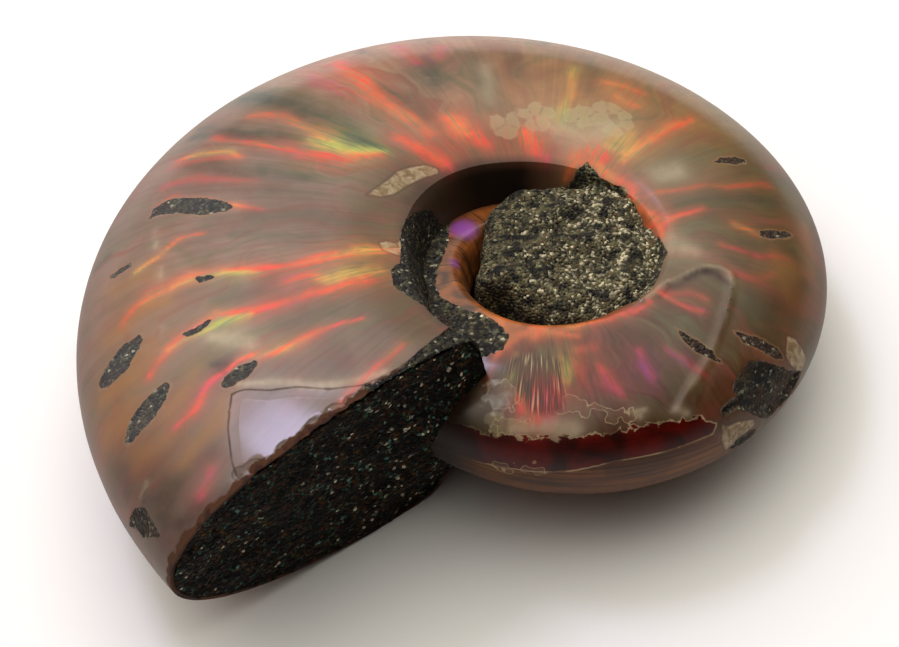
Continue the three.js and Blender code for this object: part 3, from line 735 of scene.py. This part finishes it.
# windows worn through the shell, as outlines
windowOutlines = [
    [(-50.5, 42), (-52.5, 42), (-54, 47), (-53.5, 54), (-52.5, 61), (-51, 66), (-49.5, 68), (-48.5, 66),
     (-48.2, 60), (-50, 52), (-50.7, 46)],
    [(-27, 43), (-26, 43), (-24.5, 40), (-23, 35), (-23, 27), (-24, 22), (-25, 22), (-26, 28), (-27.3, 36)],
    [(-17, 45), (-16, 46), (-14.5, 43), (-13.5, 37), (-13.5, 28), (-13.7, 25), (-14.5, 24), (-16, 29),
     (-17, 39)],
    [(-10.5, 57), (-11.4, 60), (-11.3, 63), (-10.5, 67), (-9.5, 67), (-8.6, 63), (-9, 59), (-9.6, 57)],
    [(-33.5, 60), (-32.6, 64.5), (-31.6, 65), (-31.6, 61)],
    [(-23.1, 54), (-22.8, 57), (-23.1, 61), (-22.8, 62.5), (-21.8, 60), (-21.5, 57.5), (-22, 55)],
    [(-41.3, 30), (-41.9, 35), (-42, 40), (-41.3, 40), (-40.6, 36), (-40.6, 32)],
    [(-191.5, 66), (-190.7, 63), (-191.3, 56), (-193, 52), (-194.2, 53), (-194, 58), (-193, 62)],
    [(-217.5, 59), (-217, 54), (-216.2, 46), (-216.8, 42), (-218, 46), (-219.8, 54), (-219.6, 59)],
    [(-265.7, 73), (-264.6, 65), (-264.3, 55), (-264.5, 48), (-266, 52), (-267.5, 59), (-267.8, 64),
     (-266.8, 69)],
    [(-254.5, 55), (-251.5, 44), (-250.2, 33), (-250.6, 26), (-252.5, 30), (-253.8, 38), (-255.5, 49)],
]

# places where the shell has gone: how deep, then the outline
chipOutlines = [
    (0.1, [(-8, 11), (-6.5, 16), (-5, 15), (-3.5, 14.5), (-2.5, 13), (-4, 9), (-5.5, 4), (-6.7, 4.5),
           (-8.5, 0), (-8.3, 6)]),
    (0.3, [(-259, 40), (-255, 34), (-253, 25), (-251, 17), (-247.5, 6), (-249, -2), (-255, -6),
           (-260, -4), (-263, 4), (-266, 15), (-268.5, 22), (-272.5, 21), (-272, 27), (-269, 28.5),
           (-266.5, 29), (-267, 33), (-264.5, 37), (-262.5, 38)]),
    (0.2, [(-263.5, -4), (-263.5, -19), (-267, -17), (-272, -9), (-270, -3), (-267, -1)]),
    (0.1, [(-150, 126), (-156, 123), (-157.5, 119), (-160.5, 113), (-165, 117), (-169, 120),
           (-176, 120.5), (-180, 118.5), (-183, 116.5), (-185, 120), (-186.5, 123), (-190.5, 125),
           (-201.5, 124), (-213.5, 122), (-221, 116), (-229, 104), (-233, 107), (-237, 109), (-245, 103),
           (-251.5, 98), (-258, 97), (-263.5, 98), (-268, 112), (-273, 124), (-276, 131), (-150, 131)]),
    (0.12, [(9, 79), (10.5, 83), (12, 86), (12.3, 90), (12.8, 100), (13.3, 109), (13, 131), (40, 131),
            (40, 79)]),
    (0, [(-75, 131), (-70, 124), (-58, 121), (-43.5, 119), (-30, 118), (-22.5, 117), (-19, 112),
         (-12, 111), (-7, 114), (-2, 118), (6, 121), (14, 121), (40, 121), (40, 131)]),
    (0, [(-475, 20), (-475, 66), (-455, 72), (-438.5, 77), (-423, 85), (-413.5, 86), (-400, 85),
         (-385, 81), (-375, 81), (-360, 86), (-352, 89), (-343.5, 89), (-336.5, 87), (-331, 83),
         (-332.5, 75), (-345, 60), (-361, 20)]),
]

# clear band of deep red along the keel of the front whorl, and what lies below it
redBandFoot = [(-347, -4), (-339.5, 1), (-327, 3.5), (-316, 6), (-309, 9), (-299.5, 15), (-288, 15),
               (-276, 15)]
redBandOutline = [(-347, 22), (-338.5, 25), (-330.5, 27), (-321.5, 28), (-312.5, 31), (-300, 33),
                  (-291.5, 34), (-284.5, 33), (-278, 28), (-274.5, 20), *reversed(redBandFoot)]
belowBandOutline = [*redBandFoot, (-268, -30), (-300, -50), (-347, -50)]

# pale lobes: middle and radius
lobes = [
    (-121.5, 96, 0.5), (-124, 102, 0.55), (-128, 94, 0.4), (-132, 89, 0.4), (-136, 86.5, 0.42),
    (-140, 87, 0.42), (-138, 93, 0.42), (-134, 95.5, 0.42), (-148, 86, 0.42), (-151.5, 82, 0.4),
    (-155.5, 78, 0.4), (-159, 76, 0.4), (-162.5, 77, 0.4), (-165, 80, 0.38), (-162.5, 85, 0.5),
    (-157, 83, 0.45), (-152.5, 87, 0.4), (-330.5, 35, 0.25), (-327.5, 38, 0.28), (-324.5, 36, 0.26),
    (-328, 31, 0.25), (-321.5, 38, 0.25),
]

# leaf-shaped sutures, a patch of clear crystals, and a patch of fine hairs
leafOutlines = [
    [(-314, 49), (-312.5, 52), (-310, 54), (-307, 55), (-304.5, 53), (-302.5, 51), (-300.5, 48),
     (-303, 47), (-305, 44), (-307, 45), (-309, 46), (-311, 47)],
    [(-327, 5), (-324, 7), (-321.5, 5), (-319.5, 9), (-316, 11), (-315.5, 6.5), (-318, 3), (-321, 1),
     (-325.5, 1)],
    [(-301, 43), (-298, 46), (-295.5, 43), (-292.5, 45), (-291, 42), (-293.5, 39), (-297, 40.5),
     (-300, 40)],
    [(-333, 47), (-332, 54), (-329, 58), (-325, 57), (-323, 51), (-324.5, 44), (-327.5, 44), (-330, 42)],
    [(-330.5, 32), (-328.5, 39), (-325, 38), (-323, 42), (-321, 39), (-323.5, 34), (-327.5, 30)],
]
crystalOutline = [(-334, 54), (-330.5, 58), (-326, 59), (-324.5, 53), (-325, 46), (-326, 41),
                  (-330.5, 40), (-333.5, 43), (-333, 49)]
striaeOutline = [(-331, 66), (-327, 74), (-320.5, 77), (-313.5, 76), (-308.5, 73), (-309, 61),
                 (-310.5, 47), (-316, 43), (-320.5, 44), (-323, 50), (-326.5, 58)]

# pale crumpled chips that are still on
paleOutlines = [
    [(-245.5, 33), (-244.5, 27), (-244.5, 17), (-244.5, 8), (-246, 3), (-249, 10), (-250.2, 20),
     (-250, 26), (-248, 29)],
    [(-273.5, 19), (-272, 14.5), (-268.5, 13), (-265, 7), (-264.5, 1), (-267.5, 0), (-270.5, -2),
     (-272.5, -7), (-274, 4)],
    [(-33.5, 110), (-34.5, 113), (-33.5, 116), (-35.5, 119), (-29, 120), (-25.5, 118), (-27, 115),
     (-29.5, 111)],
    [(-57, 101), (-61.5, 103), (-68, 105), (-73.5, 105), (-78.5, 107), (-84, 110), (-87, 115),
     (-84.5, 117), (-77.5, 115), (-69.5, 113), (-62, 111), (-58, 107)],
]

# bites out of the edge by the mouth: middle and radius
scars = [(2, 46, 0.35), (3.2, 49.5, 0.5), (4.5, 58, 0.3), (5.8, 62, 0.35), (6.3, 66, 0.5), (7.3, 71, 0.5),
         (8.6, 75, 0.45), (9.6, 79, 0.4)]


# How the shell's grid is spread, its relief, and how its markings are drawn
shellMesh = {
    "startGrowth": -520,
    "youngUntil": -365,
    "youngRings": 45,
    "rings": 755,
    "upperColumns": 90,
    "lowerColumns": 30,
    "wallFootAround": 130,
    "breakAfter": -120,
    "youngEnd": -300,
    "polish": 0.015,
    "polishSize": 5.0,
    "ridgeHeight": 0.11,
    "ridgeWidth": 0.2,
    "windowDepth": 0.02,
    "windowEdge": 0.15,
    "windowFade": (-0.5, -0.2),
    "bareGrain": 0.5,
    "chipEdge": (-0.05, 0.35),
    "scarDepth": 0.12,
    "scarEdge": 0.2,
    "fireWidth": 0.66,
    "bandWidth": 1.2,
    "lineSteps": 4,
    "core": 0.8,
    "glow": 0.28,
    "glowWidth": 3.0,
    "restHue": 0.3,  # where no line is near
    "wander": 0.3,
    "wanderSize": 1.7,
    "wanderSeed": 7,
    "amberFrom": ([-345, -330, -318, -300, -286, -270, -250], [78, 82, 84, 89, 98, 110, 122]),
    "amberBlur": 4,
    "amberFades": (-255, -275),
    "violetSpots": [(-438, 86, 0.8), (-402, 104, 0.3)],
    "violetFade": (-0.2, 0.5),
    "lip": 0.22,
    "lipDepth": 0.5,
    "sharpAngle": 35,
}
mergeWithin = 0.001
far = 1000.0
outlineReach = 12  # how many degrees of growth past its own places an outline is looked for
lineReach = 14  # and a line
trace = 1e-6  # so that the hue isn't divided by nothing


# For each segment of a line through corners, the distance of each point and the share along it
def alongSegments(points, corners):
    for start, end in zip(corners[:-1], corners[1:]):
        along = end - start
        share = np.clip((points - start) @ along / (along @ along), 0, 1)
        yield np.linalg.norm(points - start - share[:, None] * along, axis=1), share


def distanceToLine(points, places):
    return np.min([distance for distance, share in alongSegments(points, shellPoints(places))], axis=0)


# How far each point is inside an outline, in millimetres, negative outside it
def depthInside(shell, outline):
    depth = np.full(len(shell["growth"]), -far)
    growths = [growth for growth, around in outline]
    near = shell["growth"] > min(growths) - outlineReach
    near &= shell["growth"] < max(growths) + outlineReach
    growth, around = shell["growth"][near], shell["around"][near]
    ring = outline + outline[:1]
    inside = np.zeros(len(growth), bool)
    for (g0, a0), (g1, a1) in zip(ring[:-1], ring[1:]):
        if a0 != a1:
            crossing = g0 + (around - a0) * (g1 - g0) / (a1 - a0)
            inside ^= ((a0 > around) != (a1 > around)) & (growth < crossing)
    distance = distanceToLine(shell["points"][near], ring)
    depth[near] = np.where(inside, distance, -distance)
    return depth


def deepest(shell, outlines):
    return np.max([depthInside(shell, outline) for outline in outlines], axis=0)


# How far each point is inside the nearest of some circles, and by how much it beats the next one
def insideCircles(shell, circles):
    best = np.full(len(shell["growth"]), -far)
    second = best.copy()
    for growth, around, radius in circles:
        inside = radius - np.linalg.norm(shell["points"] - shellPoints([(growth, around)]), axis=1)
        second = np.maximum(second, np.minimum(best, inside))
        best = np.maximum(best, inside)
    return best, best - second


# How strongly a line shows at each point, and its hue there. Each place on it is growth, around, half
# width and hue.
def lineOnShell(shell, strength, line, widening):
    places = np.array(line, float)
    stops = np.linspace(0, len(places) - 1, shellMesh["lineSteps"] * (len(places) - 1) + 1)
    places = np.stack([np.interp(stops, range(len(places)), column) for column in places.T], axis=1)
    near = shell["growth"] > places[:, 0].min() - lineReach
    near &= shell["growth"] < places[:, 0].max() + lineReach
    points = shell["wandered"][near]
    closest = np.full(len(points), far)
    hue = np.zeros(len(points))
    segments = alongSegments(points, shellPoints(places[:, :2]))
    for start, end, (distance, share) in zip(places[:-1], places[1:], segments):
        distance = distance / (start[2] + (end[2] - start[2]) * share) / widening
        closer = distance < closest
        closest = np.where(closer, distance, closest)
        if len(start) > 3:
            hue = np.where(closer, start[3] + (end[3] - start[3]) * share, hue)
    glow = shellMesh["glow"] * np.exp(-((closest / shellMesh["glowWidth"]) ** 2))
    amount = shellMesh["core"] * np.exp(-closest ** 2) + glow
    return near, strength * np.minimum(amount, 1), hue


# All of some lines: how strongly they show at each point, and the hue of those that show most
def linesOnShell(shell, lines, widening):
    left = np.ones(len(shell["growth"]))
    hues = np.full(len(left), trace * shellMesh["restHue"])
    amounts = np.full(len(left), trace)
    for strength, line in lines:
        near, amount, hue = lineOnShell(shell, strength, line, widening)
        left[near] *= 1 - amount
        hues[near] += amount ** 2 * hue
        amounts[near] += amount ** 2
    return 1 - left, hues / amounts


# Ring growths: close steps along the whorls that show, wide ones where only the middle hollow does
def ringGrowth(share):
    early = shellMesh["youngRings"] / (shellMesh["youngRings"] + shellMesh["rings"])
    radii = [keelRadius(shellMesh[name]) for name in ("startGrowth", "youngUntil")]
    radius = np.interp(share, [0, early, 1], radii + [keelRadius(mouth["uncut"])])
    return 360 * np.log(radius / coil["mouthRadius"]) / math.log(coil["expansion"])


# Column places: up one side from the foot of the wall, over the keel and down the other. The last column
# goes back to the first.
def columnAround(share):
    foot = shellMesh["wallFootAround"]
    columns = shellMesh["upperColumns"] + shellMesh["lowerColumns"]
    last = columns / (columns + 1)
    keel = last * shellMesh["lowerColumns"] / columns
    between = np.interp(share, [0, keel, last], [-foot, 0, foot])
    return np.where(share > (last + 1) / 2, -foot, between)


# On the side that doesn't show, fire in the same style, drawn by lot
hidden = {
    "seed": 7,
    "growths": (-352, -4),
    "apart": (6, 17),
    "strength": (0.4, 1.0),
    "halfWidth": (0.25, 0.7),
    "endShares": (0.5, 0.6),
    "hue": (0.16, 0.75),
    "hueChange": (-0.15, 0.15),
    "sway": (-4, 4),
    "keelEnd": (-60, -30),
    "middle": (-85, -65),
    "hollowEnd": (-118, -90),
}


def hiddenFire():
    lot = random.Random(hidden["seed"])

    def draw(name):
        return lot.uniform(*hidden[name])

    streaks = []
    growth, last = hidden["growths"]
    keelShare, hollowShare = hidden["endShares"]
    while growth < last:
        width, hue = draw("halfWidth"), draw("hue")
        line = [(growth, draw("keelEnd"), width * keelShare, hue),
                (growth + draw("sway"), draw("middle"), width, hue + draw("hueChange")),
                (growth, draw("hollowEnd"), width * hollowShare, hue)]
        streaks.append((draw("strength"), line))
        growth += draw("apart")
    return streaks


# Extrudes edges, moves the new points, and gives the new open edges
def extrudeRim(bm, edges, move):
    made = bmesh.ops.extrude_edge_only(bm, edges=edges)["geom"]
    for vert in (item for item in made if isinstance(item, bmesh.types.BMVert)):
        vert.co += move(vert.co)
    return [item for item in made if isinstance(item, bmesh.types.BMEdge) and item.is_boundary]


# The shell's surface: a grid one unit wide, laid round the coil, that keeps each point's growth and
# around in two layers and a UV map
def coilGrid(bm, growthLayer, aroundLayer):
    rings = shellMesh["youngRings"] + shellMesh["rings"]
    columns = shellMesh["upperColumns"] + shellMesh["lowerColumns"] + 1
    bmesh.ops.create_grid(bm, x_segments=rings, y_segments=columns, size=0.5)
    corners = np.array([v.co[:] for v in bm.verts])
    growth = ringGrowth(corners[:, 0] + 0.5)
    around = columnAround(corners[:, 1] + 0.5)
    points = coilPoints(growth, *sectionPlace(growth, around))
    for vert, g, a, point in zip(bm.verts, growth, around, points):
        vert[growthLayer] = g
        vert[aroundLayer] = a
        vert.co = point
    uvs = bm.loops.layers.uv.new("coil")
    for face in bm.faces:
        for loop in face.loops:
            loop[uvs].uv = (loop.vert[growthLayer], loop.vert[aroundLayer])
    bmesh.ops.remove_doubles(bm, verts=bm.verts, dist=mergeWithin)


# Breaks the mouth off and closes both ends: the young one flat, the mouth with the shell's own edge and
# a floor sunk behind it
def breakMouth(bm, growthLayer):
    grown = [f for f in bm.faces if f.verts[0][growthLayer] > shellMesh["breakAfter"]]
    geometry = dict.fromkeys(grown)
    for face in grown:
        geometry.update(dict.fromkeys([*face.edges, *face.verts]))
    bmesh.ops.bisect_plane(bm, geom=list(geometry), plane_co=mouthKeel, plane_no=mouthForward,
                           clear_outer=True)
    openEdges = [e for e in bm.edges if e.is_boundary]
    young = [e for e in openEdges if e.verts[0][growthLayer] < shellMesh["youngEnd"]]
    bmesh.ops.holes_fill(bm, edges=young, sides=0)
    rim = [e for e in openEdges if e.verts[0][growthLayer] > shellMesh["youngEnd"]]
    rim = extrudeRim(bm, rim, lambda place: (mouthMiddle - place).normalized() * shellMesh["lip"])
    rim = extrudeRim(bm, rim, lambda place: mouthForward * -shellMesh["lipDepth"])
    bmesh.ops.holes_fill(bm, edges=rim, sides=0)
    bmesh.ops.recalc_face_normals(bm, faces=bm.faces)
    bm.normal_update()


# What the shell's relief and its material both read
def readShell(bm, growthLayer, aroundLayer):
    points = np.array([v.co[:] for v in bm.verts])
    noise.seed_set(shellMesh["wanderSeed"])  # noise_vector shifts its noise by the seed
    wander = np.array([noise.noise_vector(v.co / shellMesh["wanderSize"])[:] for v in bm.verts])
    shell = {
        "growth": np.array([v[growthLayer] for v in bm.verts]),
        "around": np.array([v[aroundLayer] for v in bm.verts]),
        "points": points,
        "wandered": points + wander * shellMesh["wander"],
    }
    shell["upper"] = shell["around"] > 0
    shell["inFlake"] = depthInside(shell, flakeOutline)
    shell["windows"] = deepest(shell, windowOutlines)
    shell["scar"] = insideCircles(shell, scars)[0]
    return shell


# The ridge, the polish, and what is sunk: windows, chips, bites by the mouth and the flake's scar
def shapeRelief(bm, shell):
    bare = shell["windows"]
    sunk = shellMesh["windowDepth"] * smoothStep(bare, 0, shellMesh["windowEdge"])
    for depth, outline in chipOutlines:
        inside = depthInside(shell, outline)
        bare = np.maximum(bare, inside)
        sunk = np.maximum(sunk, depth * smoothStep(inside, *shellMesh["chipEdge"]))
    scarred = smoothStep(shell["scar"], 0, shellMesh["scarEdge"]) * shell["upper"]
    sunk = sunk + shellMesh["scarDepth"] * scarred
    fromRidge = distanceToLine(shell["points"], ridge)
    raised = shellMesh["ridgeHeight"] * np.exp(-((fromRidge / shellMesh["ridgeWidth"]) ** 2)) - sunk
    drop = flakeDrop(shell["points"]) * smoothStep(shell["inFlake"], *flake["edge"]) * shell["upper"]
    for vert, lift, isBare, fall in zip(bm.verts, raised, bare, drop):
        soft = shellMesh["polish"] * noise.noise(vert.co / shellMesh["polishSize"])
        if isBare > 0:
            soft = grainHeight(vert.co) * min(isBare / shellMesh["windowEdge"], 1) * shellMesh["bareGrain"]
        vert.co += vert.normal * (lift + soft)
        vert.co.z = max(vert.co.z - fall, 0)
        vert.co *= millimetre
    return bare


# The markings, as the attributes that the opal's material reads
def markShell(shell, bare):
    growth, around, upper = shell["growth"], shell["around"], shell["upper"]
    fire, hue = linesOnShell(shell, fireLines + hiddenFire(), shellMesh["fireWidth"])
    lobe, lobeSeam = insideCircles(shell, lobes)
    violet = insideCircles(shell, shellMesh["violetSpots"])[0]
    amberFrom = np.interp(growth, *shellMesh["amberFrom"])
    amber = smoothStep(around, amberFrom - shellMesh["amberBlur"], amberFrom + shellMesh["amberBlur"])
    behindMouth = (np.array(mouthKeel) - shell["points"]) @ np.array(mouthForward)
    marks = {
        "bare": bare,
        "window": smoothStep(shell["windows"], *shellMesh["windowFade"]),
        "fire": fire,
        "hue": hue,
        "amber": amber * smoothStep(growth, *shellMesh["amberFades"]) * upper,
        "violet": smoothStep(violet, *shellMesh["violetFade"]),
        "redBand": depthInside(shell, redBandOutline),
        "belowBand": depthInside(shell, belowBandOutline),
        "lobe": lobe,
        "lobeSeam": lobeSeam,
        "leaf": deepest(shell, leafOutlines),
        "crystal": depthInside(shell, crystalOutline),
        "striae": depthInside(shell, striaeOutline),
        "chip": deepest(shell, paleOutlines),
        "scar": shell["scar"],
        "lip": np.where(growth < shellMesh["breakAfter"], far, behindMouth),
        "flake": np.where(upper, shell["inFlake"], -far),
    }
    for name, lines in bandLines.items():
        marks[name] = linesOnShell(shell, lines, shellMesh["bandWidth"])[0]
    return marks


def makeShell():
    bm = bmesh.new()
    growthLayer = bm.verts.layers.float.new("growth")
    aroundLayer = bm.verts.layers.float.new("around")
    coilGrid(bm, growthLayer, aroundLayer)
    breakMouth(bm, growthLayer)
    shell = readShell(bm, growthLayer, aroundLayer)
    bare = shapeRelief(bm, shell)
    marks = markShell(shell, bare)
    piece = newPiece("shell", bm, makeOpal(marks), shellMesh["sharpAngle"])
    for name, values in marks.items():
        layer = piece.data.attributes.new(name, "FLOAT", "POINT")
        layer.data.foreach_set("value", values.astype(np.float32))


# The sandstone's clumps and grains: how wide, and how high they stand
bumps = [(1.1, 0.14), (0.32, 0.09)]


def grainHeight(point):
    return sum(noise.noise(point / width) * height for width, height in bumps)


# The sandstone in the mouth: a fan of points between the middle plane and the shell, moved forward
# or back along the coil until they lie on the break.
mouthMesh = {
    "columns": 190,
    "rows": 120,
    "shrinkOut": 0.978,
    "shrinkUp": 0.965,
    "depth": 1.0,
    "taper": 0.12,
    "solveSteps": 6,
    "solveReach": 0.5,
}


def mouthPoints(growth, around, across):
    out, up = sectionPlace(growth, around)
    middle = (1 + rimAt(growth)) / 2
    out = middle + (out - middle) * mouthMesh["shrinkOut"]
    return coilPoints(growth, out, up * across * mouthMesh["shrinkUp"])


def makeMouth(material):
    bm = bmesh.new()
    bmesh.ops.create_grid(bm, x_segments=mouthMesh["columns"], y_segments=mouthMesh["rows"], size=0.5)
    corners = np.array([v.co[:] for v in bm.verts])
    around = (corners[:, 0] + 0.5) * shellMesh["wallFootAround"]
    across = corners[:, 1] * 2
    keel, forward = np.array(mouthKeel), np.array(mouthForward)
    growth = np.zeros(len(around))
    for i in range(mouthMesh["solveSteps"]):
        before = (mouthPoints(growth, around, across) - keel) @ forward
        after = (mouthPoints(growth + mouthMesh["solveReach"], around, across) - keel) @ forward
        growth = growth - before * mouthMesh["solveReach"] / (after - before)
    points = mouthPoints(growth, around, across)
    inward = (points - keel) @ np.array(mouthInward)
    upward = (points - keel) @ np.array(mouthUpward)
    swell = np.maximum(1 - (upward / mouth["swellHalfWidth"]) ** 2, 0)
    swell = mouth["swellHeight"] * swell * smoothStep(inward, mouth["swellFrom"], mouth["swellTo"])
    inFlake = depthInside({"growth": growth, "around": around, "points": points}, flakeOutline) > 0
    points[:, 2] -= np.where(inFlake, flakeDrop(points), 0)
    for vert, point, rise in zip(bm.verts, points, swell):
        vert.co = point
        lump = mouth["lumpHeight"] * noise.noise(vert.co / mouth["lumpSize"])
        vert.co += mouthForward * (rise + lump + grainHeight(vert.co))
    bmesh.ops.remove_doubles(bm, verts=bm.verts, dist=mergeWithin)
    taper, back = mouthMesh["taper"], mouthForward * mouthMesh["depth"]
    rim = [e for e in bm.edges if e.is_boundary]
    rim = extrudeRim(bm, rim, lambda place: (mouthMiddle - place) * taper - back)
    bmesh.ops.holes_fill(bm, edges=rim, sides=0)
    bmesh.ops.recalc_face_normals(bm, faces=bm.faces)
    for vert in bm.verts:
        vert.co.z = max(vert.co.z, 0)
        vert.co *= millimetre
    newPiece("mouthSandstone", bm, material)


# Sandstone left in the middle hollow, through the stone from side to side
plug = {
    "reach": (5.15, 4.8),
    "top": 3.6,
    "at": (1.9, 0.7),
    "squareness": 9,
    "lumpSize": 1.5,
    "lumpHeight": 0.4,
    "roughness": 1.8,
    "ragged": 0.15,
    "raggedSize": 3.2,
    "raggedLevel": 0.55,
}


def makePlug(material):
    bm = bmesh.new()
    bmesh.ops.create_icosphere(bm, subdivisions=6, radius=1)
    square = plug["squareness"]
    for vert in bm.verts:
        across = math.hypot(vert.co.x, vert.co.y)
        vert.co /= (across ** square + abs(vert.co.z) ** square) ** (1 / square)
        side = math.copysign(1, vert.co.z)
        level = Vector((vert.co.x, vert.co.y, plug["raggedLevel"]))
        ragged = 1 + plug["ragged"] * noise.noise(level * plug["raggedSize"])
        vert.co.x = vert.co.x * plug["reach"][0] * ragged + plug["at"][0]
        vert.co.y = vert.co.y * plug["reach"][1] * ragged + plug["at"][1]
        vert.co.z *= plug["top"]
        lump = plug["lumpHeight"] * noise.noise(vert.co / plug["lumpSize"])
        vert.co.z += side * (lump + grainHeight(vert.co) * plug["roughness"])
        vert.co = toTable @ vert.co * millimetre
    newPiece("hollowSandstone", bm, material)


# The camera, with the direction it stands in as azimuth and elevation
camera = {
    "towards": (-88.274, 51.297),
    "roll": -0.963,
    "distance": 175.0,
    "target": (-0.348, -0.893, 5.0),
    "lens": 138.29,
    "sensor": 36.0,
    "clipStart": 0.01,
}


def direction(azimuth, elevation):
    azimuth, elevation = math.radians(azimuth), math.radians(elevation)
    return Vector((math.cos(azimuth) * math.cos(elevation), math.sin(azimuth) * math.cos(elevation),
                   math.sin(elevation)))


def makeCamera():
    data = bpy.data.cameras.new("camera")
    data.lens = camera["lens"]
    data.sensor_width = camera["sensor"]
    data.clip_start = camera["clipStart"]
    piece = addObject("camera", data)
    back = direction(*camera["towards"])
    turn = back.to_track_quat("Z", "Y").to_matrix().to_4x4()
    roll = Matrix.Rotation(math.radians(camera["roll"]), 4, "Z")
    place = (Vector(camera["target"]) + back * camera["distance"]) * millimetre
    piece.matrix_world = Matrix.Translation(place) @ turn @ roll
    bpy.context.scene.camera = piece


# A window high at the back left, in a room with a pale ceiling and a pale wall behind. The lists give
# brightness by how far a direction turns towards the ceiling, or towards the wall behind.
studio = {
    "ceiling": [(0.6, 0.0), (0.72, 0.06), (0.83, 0.65), (0.93, 2.15)],
    "ceilingTowards": (125, 68),
    "behind": [(0.6, 0.0), (0.8, 0.2), (0.95, 0.5)],
    "behindTowards": (115, 12),
    "tint": "#fffaf0",
    "floor": "#f2f1ef",
    "floorSize": 3.0,
    "floorRoughness": 0.9,
    "window": {"towards": (131, 59), "distance": 0.5, "size": 0.104, "power": 0.62, "colour": "#d9d4ff"},
}


def brightness(tree, towards, ramp):
    looking = addNode(tree, "ShaderNodeTexCoord").outputs["Generated"]
    facing = addNode(tree, "ShaderNodeVectorMath", {0: looking, 1: direction(*towards)},
                     operation="DOT_PRODUCT")
    share = addNode(tree, "ShaderNodeMapRange", {"Value": facing.outputs["Value"], "From Min": -1.0})
    return addNode(tree, "ShaderNodeValToRGB", {"Fac": share.outputs[0]}, ramp).outputs["Color"]


def makeRoom():
    world = bpy.data.worlds.new("studio")
    world.use_nodes = True
    bpy.context.scene.world = world
    tree = world.node_tree
    ceiling = brightness(tree, studio["ceilingTowards"], studio["ceiling"])
    behind = brightness(tree, studio["behindTowards"], studio["behind"])
    room = addNode(tree, "ShaderNodeMix", {mixFactor: 1.0, mixA: ceiling, mixB: behind},
                   data_type="RGBA", blend_type="ADD").outputs[mixResult]
    tinted = addNode(tree, "ShaderNodeMix", {mixFactor: 1.0, mixA: room, mixB: linear(studio["tint"])},
                     data_type="RGBA", blend_type="MULTIPLY").outputs[mixResult]
    tree.links.new(tinted, tree.nodes["Background"].inputs["Color"])


def makeWindow():
    window = studio["window"]
    towards = direction(*window["towards"])
    data = bpy.data.lights.new("window", "AREA")
    data.shape = "SQUARE"
    data.size = window["size"]
    data.energy = window["power"]
    data.color = linear(window["colour"])[:3]
    lamp = addObject("window", data)
    lamp.location = towards * window["distance"]
    lamp.rotation_euler = towards.to_track_quat("Z", "Y").to_euler()


def makeFloor():
    material, tree = newMaterial("White paper, matt")
    shader = addNode(tree, "ShaderNodeBsdfPrincipled",
                     {"Base Color": linear(studio["floor"]), "Roughness": studio["floorRoughness"]})
    addNode(tree, "ShaderNodeOutputMaterial", {"Surface": shader.outputs[0]})
    bm = bmesh.new()
    bmesh.ops.create_grid(bm, x_segments=1, y_segments=1, size=studio["floorSize"] / 2)
    mesh = bpy.data.meshes.new("floor")
    bm.to_mesh(mesh)
    bm.free()
    mesh.materials.append(material)
    floor = addObject("floor", mesh)


makeCamera()
makeRoom()
makeWindow()
makeFloor()
bpy.context.scene.view_settings.view_transform = "Standard"
print("camera and studio made")
makeShell()
makeMouth(makeSandstone("freshAndShaded"))
makePlug(makeSandstone("weathered"))
